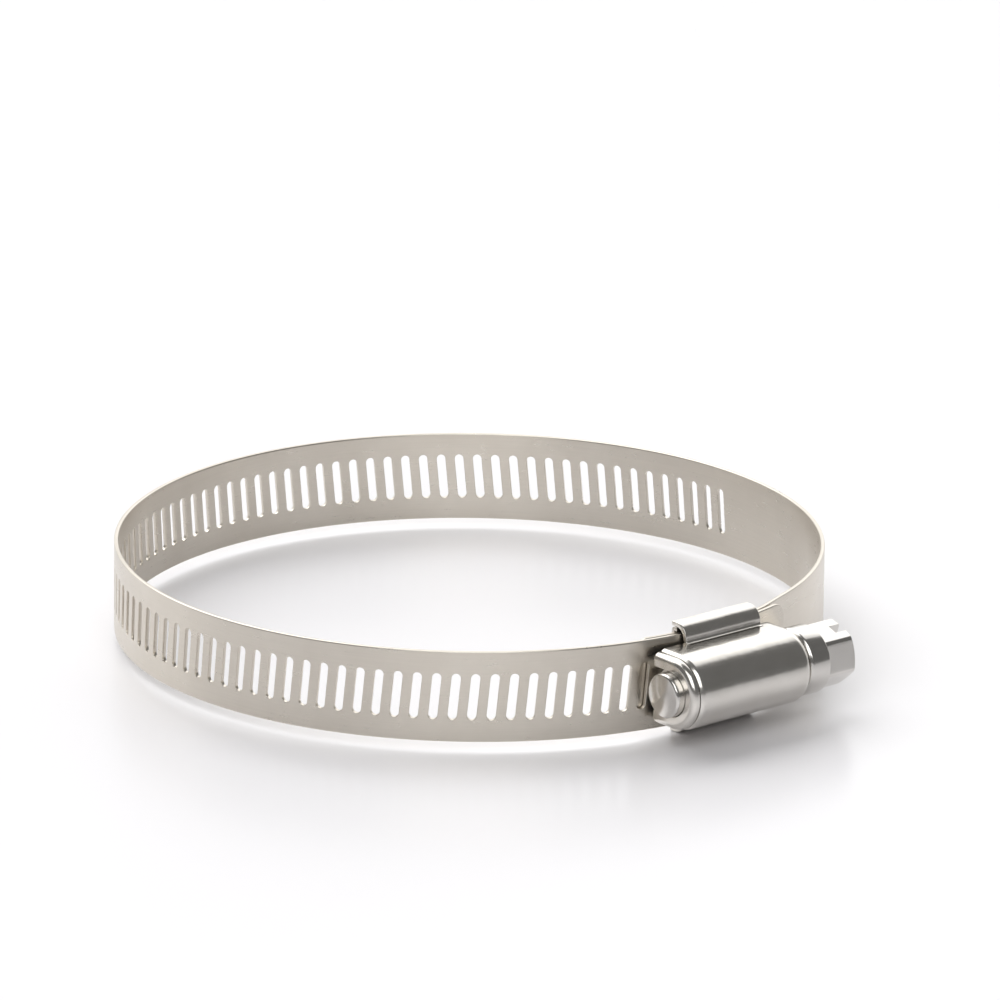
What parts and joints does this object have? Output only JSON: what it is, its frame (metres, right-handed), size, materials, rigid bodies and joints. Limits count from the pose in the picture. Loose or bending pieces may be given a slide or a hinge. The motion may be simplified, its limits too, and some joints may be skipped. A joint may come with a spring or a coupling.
{
  "type": "hose clamp",
  "caption": "Worm-drive hose clamp: a slotted steel band round a hose, closed through a pressed housing by a captive hexagon-head screw with a driver slot.",
  "frame": {"origin": "centre of the clamped circle at half the band's width", "axes": "+Z along the clamp's axis, housing towards -Y, screw head towards +X"},
  "size_m": [0.0987, 0.1084, 0.0154],
  "materials": {
    "band_steel": "satin rolled stainless strip",
    "housing_steel": "bright pressed stainless sheet",
    "screw_steel": "bright cold-headed stainless"
  },
  "bodies": {
    "housing_unit": {"housing": "housing_steel", "saddle": "housing_steel", "band_fixed_end": "band_steel"},
    "screw": {"screw": "screw_steel"},
    "free_end": {"band_free_end": "band_steel"},
    "right_01": {"band_right_01": "band_steel"},
    "right_02": {"band_right_02": "band_steel"},
    "right_03": {"band_right_03": "band_steel"},
    "right_04": {"band_right_04": "band_steel"},
    "right_05": {"band_right_05": "band_steel"},
    "left_01": {"band_left_01": "band_steel"},
    "left_02": {"band_left_02": "band_steel"},
    "left_03": {"band_left_03": "band_steel"},
    "left_04": {"band_left_04": "band_steel"}
  },
  "joints": [
    {"name": "screw_turn", "type": "hinge", "parent": "housing_unit", "child": "screw", "pos_m": [0, -0.05415, 0], "axis": [-1, 0, 0], "range_deg": [-360, 2880]},
    {"name": "band_feed", "type": "hinge", "parent": "housing_unit", "child": "free_end", "pos_m": [0, -0.0007, 0], "axis": [0, 0, 1], "range_deg": [-3.29, 24.4]},
    {"name": "flex_right_01", "type": "hinge", "parent": "housing_unit", "child": "right_01", "pos_m": [0.02215, -0.04337, 0], "axis": [0, 0, 1], "range_deg": [-0.38, 2.79]},
    {"name": "flex_right_02", "type": "hinge", "parent": "right_01", "child": "right_02", "pos_m": [0.04114, -0.02606, 0], "axis": [0, 0, 1], "range_deg": [-0.37, 2.72]},
    {"name": "flex_right_03", "type": "hinge", "parent": "right_02", "child": "right_03", "pos_m": [0.04868, -0.0015, 0], "axis": [0, 0, 1], "range_deg": [-0.35, 2.63]},
    {"name": "flex_right_04", "type": "hinge", "parent": "right_03", "child": "right_04", "pos_m": [0.04267, 0.02348, 0], "axis": [0, 0, 1], "range_deg": [-0.34, 2.54]},
    {"name": "flex_right_05", "type": "hinge", "parent": "right_04", "child": "right_05", "pos_m": [0.02478, 0.04192, 0], "axis": [0, 0, 1], "range_deg": [-0.33, 2.48]},
    {"name": "flex_left_01", "type": "hinge", "parent": "free_end", "child": "left_01", "pos_m": [-0.04251, -0.02586, 0], "axis": [0, 0, 1], "range_deg": [-2.94, 0.4]},
    {"name": "flex_left_02", "type": "hinge", "parent": "left_01", "child": "left_02", "pos_m": [-0.0494, -0.0011, 0], "axis": [0, 0, 1], "range_deg": [-2.85, 0.38]},
    {"name": "flex_left_03", "type": "hinge", "parent": "left_02", "child": "left_03", "pos_m": [-0.04292, 0.02377, 0], "axis": [0, 0, 1], "range_deg": [-2.76, 0.37]},
    {"name": "flex_left_04", "type": "hinge", "parent": "left_03", "child": "left_04", "pos_m": [-0.02482, 0.04201, 0], "axis": [0, 0, 1], "range_deg": [-2.69, 0.36]}
  ],
  "couplings": [
    {"joint": "band_feed", "follows": "screw_turn", "ratio": 0.0083766},
    {"joint": "flex_right_01", "follows": "screw_turn", "ratio": 0.00095716},
    {"joint": "flex_right_02", "follows": "screw_turn", "ratio": 0.00093548},
    {"joint": "flex_right_03", "follows": "screw_turn", "ratio": 0.00090471},
    {"joint": "flex_right_04", "follows": "screw_turn", "ratio": 0.00087342},
    {"joint": "flex_right_05", "follows": "screw_turn", "ratio": 0.00085031},
    {"joint": "flex_left_01", "follows": "screw_turn", "ratio": -0.0010078},
    {"joint": "flex_left_02", "follows": "screw_turn", "ratio": -0.00097722},
    {"joint": "flex_left_03", "follows": "screw_turn", "ratio": -0.00094651},
    {"joint": "flex_left_04", "follows": "screw_turn", "ratio": -0.00092397}
  ]
}
